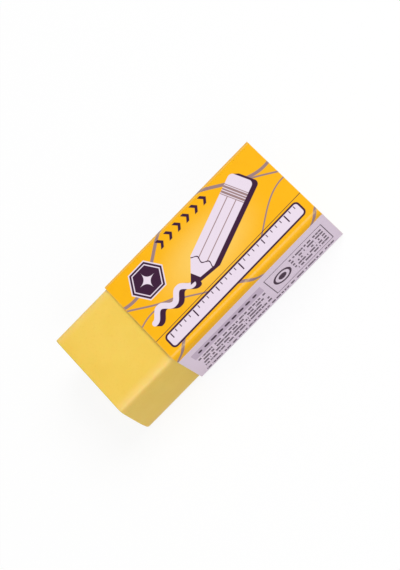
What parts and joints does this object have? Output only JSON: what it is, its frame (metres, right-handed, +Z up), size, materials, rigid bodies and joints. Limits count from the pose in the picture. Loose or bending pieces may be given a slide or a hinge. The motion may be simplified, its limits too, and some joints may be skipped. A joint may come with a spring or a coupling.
{
  "type": "block eraser",
  "caption": "Rectangular soft vinyl block eraser with rounded long edges, held in a folded and glued card sleeve that slides along it; rubs out pencil marks.",
  "frame": {"origin": "middle of the footprint's bounding box, on the surface that the sleeve lies on", "axes": "+X along the block towards the sleeve's tail end, with the bare end at -X; +Z up, out of the wide printed face; -Y towards the narrow side that the picture shows"},
  "size_m": [0.0432, 0.0174, 0.0124],
  "materials": {
    "soft_vinyl": "matte",
    "printed_card": "satin"
  },
  "bodies": {
    "sleeve": {"card_sleeve": "printed_card"},
    "block": {"eraser_block": "soft_vinyl"}
  },
  "joints": [
    {"name": "block_slide", "type": "slide", "parent": "sleeve", "child": "block", "axis": [-1, 0, 0], "range_m": [-0.0115, 0.02]}
  ]
}
